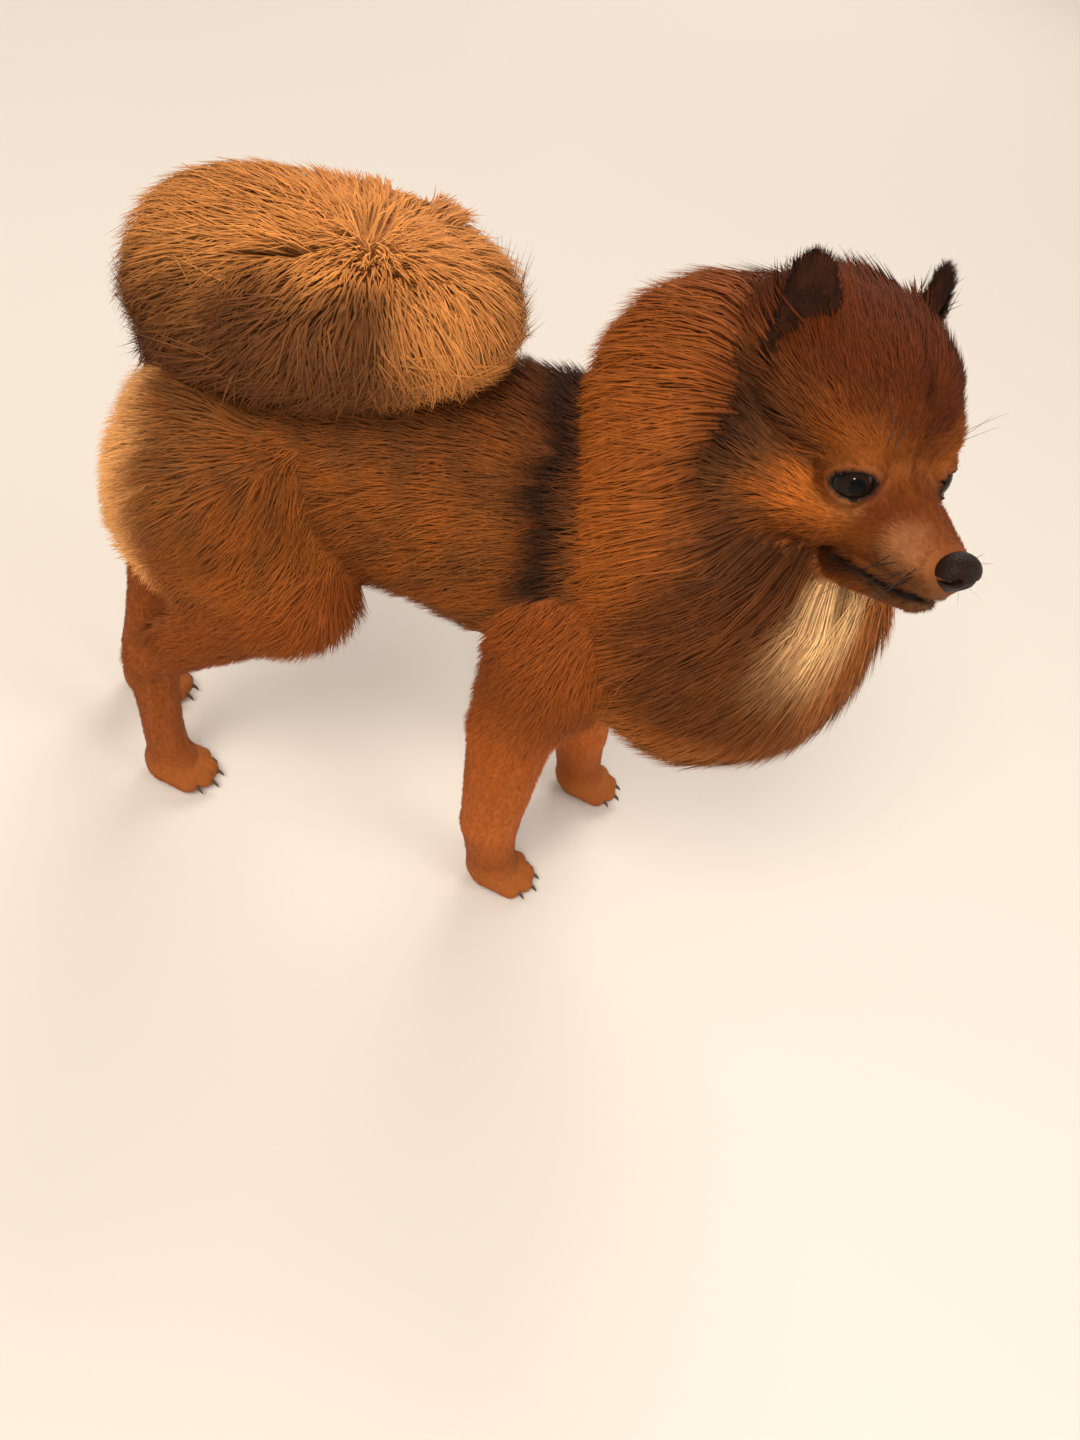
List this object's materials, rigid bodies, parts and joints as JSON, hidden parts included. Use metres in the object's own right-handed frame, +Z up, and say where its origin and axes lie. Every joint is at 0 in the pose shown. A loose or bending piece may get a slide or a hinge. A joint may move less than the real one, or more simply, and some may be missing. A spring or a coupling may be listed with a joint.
{
  "type": "pomeranian dog",
  "caption": "Life-size still model of a sable Pomeranian standing on four paws, head turned to its right, full ruff, tail over its back.",
  "frame": {"origin": "middle of the box round the dog, on the floor under its paws", "axes": "+X along the body towards the chest, +Y to the dog's left, +Z up"},
  "size_m": [0.3498, 0.1762, 0.3625],
  "materials": {
    "coat": "short dense fur, orange sable",
    "ruff": "long soft fur, orange brown with dark tips",
    "plume": "long soft fur, cream orange",
    "legs": "short fur, tan",
    "ear_fur": "short velvet fur, dark brown",
    "eye": "wet, dark brown",
    "nose": "moist black leather"
  },
  "bodies": {
    "root": {"torso": "coat", "neck_ruff": "ruff", "tail": "plume", "head": "coat", "nose": "nose", "eye_right": "eye", "eye_left": "eye", "ear_right": "ear_fur", "ear_left": "ear_fur", "thigh_right": "coat", "thigh_left": "coat", "shank_right": "legs", "shank_left": "legs", "hind_paw_right": "legs", "hind_paw_left": "legs", "fore_leg_right": "legs", "fore_leg_left": "legs", "fore_paw_right": "legs", "fore_paw_left": "legs"}
  },
  "joints": []
}
